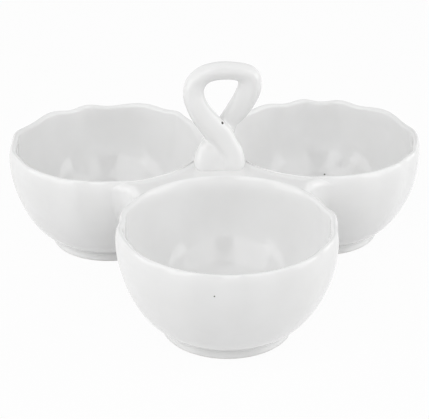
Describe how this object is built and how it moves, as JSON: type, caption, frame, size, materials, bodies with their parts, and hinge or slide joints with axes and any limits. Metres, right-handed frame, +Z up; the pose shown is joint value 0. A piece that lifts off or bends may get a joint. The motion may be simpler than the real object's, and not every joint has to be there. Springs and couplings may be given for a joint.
{
  "type": "divided serving bowl",
  "caption": "Divided serving dish of round scalloped-rim bowls joined in a trefoil round an upright loop handle, in white glazed ceramic, for dips and snacks.",
  "frame": {"origin": "middle of the footprint, on the table under the foot rings", "axes": "+Z up, -Y towards the single front bowl, +X to the right as seen from the front"},
  "size_m": [0.2294, 0.2138, 0.1151],
  "materials": {
    "white_glaze": "clear gloss glaze over white stoneware",
    "foot_glaze": "gloss glaze wiped back to bare clay where the ring stands"
  },
  "bodies": {
    "root": {"bowl_front": "white_glaze", "bowl_left": "white_glaze", "bowl_right": "white_glaze", "foot_ring_front": "foot_glaze", "foot_ring_left": "foot_glaze", "foot_ring_right": "foot_glaze", "centre_bridge": "white_glaze", "loop_handle": "white_glaze"}
  },
  "joints": []
}
